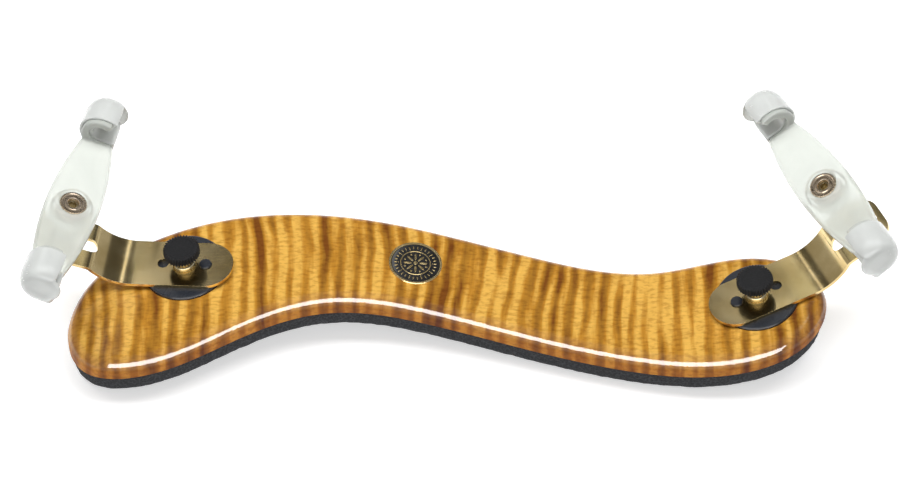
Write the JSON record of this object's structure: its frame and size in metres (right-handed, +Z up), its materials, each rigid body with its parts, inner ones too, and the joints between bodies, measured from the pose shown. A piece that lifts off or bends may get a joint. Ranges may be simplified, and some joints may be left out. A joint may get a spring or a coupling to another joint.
{
  "type": "violin shoulder rest",
  "caption": "Wavy maple violin shoulder rest on a foam pad, with turning discs, bent brass arms, thumb screws and height-adjustable clear forks whose sleeved feet grip the violin's edge.",
  "frame": {"origin": "middle of the footprint of the whole rest, on the surface that the foam pad lies on", "axes": "+X along the board from the shoulder end to the chest end, +Y away from the player's chin towards the scroll, +Z up to the violin's back"},
  "size_m": [0.2357, 0.0724, 0.0648],
  "materials": {
    "maple": "high-gloss amber lacquer over curly figure",
    "foam": "fine closed-cell foam, matt",
    "badge_brass": "polished relief",
    "black_enamel": "glossy black inlay",
    "black_plastic": "moulded, hidden under the board",
    "disc_plastic": "smooth black moulding with a soft sheen",
    "insert_brass": "turned, knurled rim",
    "screw_brass": "turned",
    "arm_brass": "mirror polished sheet with fine scratches",
    "knob_plastic": "moulded with a toothed rim",
    "stud_brass": "threaded rod",
    "nut_brass": "knurled",
    "clear_plastic": "clear moulded polycarbonate, slightly milky",
    "clear_sleeve": "soft clear vinyl, satin"
  },
  "bodies": {
    "board": {"board": "maple", "foam_pad": "foam", "badge_disc": "badge_brass", "badge_enamel": "black_enamel", "shoulder_retaining_ring": "black_plastic", "chest_retaining_ring": "black_plastic"},
    "shoulder_swivel": {"shoulder_base_disc": "disc_plastic", "shoulder_disc_bush": "insert_brass", "shoulder_arm": "arm_brass"},
    "shoulder_collar": {"shoulder_screw_collar": "screw_brass"},
    "shoulder_screw": {"shoulder_thumb_knob": "knob_plastic", "shoulder_thumb_screw": "screw_brass"},
    "shoulder_leg": {"shoulder_height_stud": "stud_brass", "shoulder_clamp_nut": "nut_brass"},
    "shoulder_nut": {"shoulder_lock_nut": "nut_brass"},
    "shoulder_fork": {"shoulder_fork": "clear_plastic", "shoulder_fork_insert": "insert_brass", "shoulder_far_sleeve": "clear_sleeve", "shoulder_near_sleeve": "clear_sleeve"},
    "chest_swivel": {"chest_base_disc": "disc_plastic", "chest_disc_bush": "insert_brass", "chest_arm": "arm_brass"},
    "chest_collar": {"chest_screw_collar": "screw_brass"},
    "chest_screw": {"chest_thumb_knob": "knob_plastic", "chest_thumb_screw": "screw_brass"},
    "chest_leg": {"chest_height_stud": "stud_brass", "chest_clamp_nut": "nut_brass"},
    "chest_nut": {"chest_lock_nut": "nut_brass"},
    "chest_fork": {"chest_fork": "clear_plastic", "chest_fork_insert": "insert_brass", "chest_far_sleeve": "clear_sleeve", "chest_near_sleeve": "clear_sleeve"}
  },
  "joints": [
    {"name": "shoulder_arm_swing", "type": "hinge", "parent": "board", "child": "shoulder_swivel", "pos_m": [-0.07684, -0.00129, 0.0179], "axis": [-0.0748, 0, 0.9972], "range_deg": [-30, 30]},
    {"name": "shoulder_screw_lift", "type": "slide", "parent": "shoulder_swivel", "child": "shoulder_collar", "axis": [-0.0748, 0, 0.9972], "range_m": [0, 0.0021]},
    {"name": "shoulder_screw_turn", "type": "hinge", "parent": "shoulder_collar", "child": "shoulder_screw", "pos_m": [-0.07684, -0.00129, 0.0179], "axis": [-0.0748, 0, 0.9972], "range_deg": [0, 1081]},
    {"name": "shoulder_leg_slide", "type": "slide", "parent": "shoulder_swivel", "child": "shoulder_leg", "axis": [-0.9556, 0.0982, 0.2779], "range_m": [-0.004, 0.0026]},
    {"name": "shoulder_fork_lift", "type": "slide", "parent": "shoulder_leg", "child": "shoulder_nut", "axis": [0.2756, -0.0365, 0.9606], "range_m": [-0.00071, 0.00351]},
    {"name": "shoulder_fork_turn", "type": "hinge", "parent": "shoulder_nut", "child": "shoulder_fork", "pos_m": [-0.10585, 0.00157, 0.04151], "axis": [0.2756, -0.0365, 0.9606], "range_deg": [-360, 1800]},
    {"name": "chest_arm_swing", "type": "hinge", "parent": "board", "child": "chest_swivel", "pos_m": [0.08209, -0.01119, 0.01689], "axis": [-0.158, 0, 0.9874], "range_deg": [-30, 30]},
    {"name": "chest_screw_lift", "type": "slide", "parent": "chest_swivel", "child": "chest_collar", "axis": [-0.158, 0, 0.9874], "range_m": [0, 0.0021]},
    {"name": "chest_screw_turn", "type": "hinge", "parent": "chest_collar", "child": "chest_screw", "pos_m": [0.08209, -0.01119, 0.01689], "axis": [-0.158, 0, 0.9874], "range_deg": [0, 1081]},
    {"name": "chest_leg_slide", "type": "slide", "parent": "chest_swivel", "child": "chest_leg", "axis": [0.8015, 0.3549, 0.4812], "range_m": [-0.0026, 0.004]},
    {"name": "chest_fork_lift", "type": "slide", "parent": "chest_leg", "child": "chest_nut", "axis": [-0.4666, -0.132, 0.8745], "range_m": [-0.00561, 0.00281]},
    {"name": "chest_fork_turn", "type": "hinge", "parent": "chest_nut", "child": "chest_fork", "pos_m": [0.09762, -0.00254, 0.05357], "axis": [-0.4666, -0.132, 0.8745], "range_deg": [-2880, 1440]}
  ],
  "couplings": [
    {"joint": "shoulder_screw_turn", "follows": "shoulder_screw_lift", "rad_per_m": 8976},
    {"joint": "shoulder_fork_lift", "follows": "shoulder_fork_turn", "m_per_rad": 0.00011141},
    {"joint": "chest_screw_turn", "follows": "chest_screw_lift", "rad_per_m": 8976},
    {"joint": "chest_fork_lift", "follows": "chest_fork_turn", "m_per_rad": 0.00011141}
  ]
}
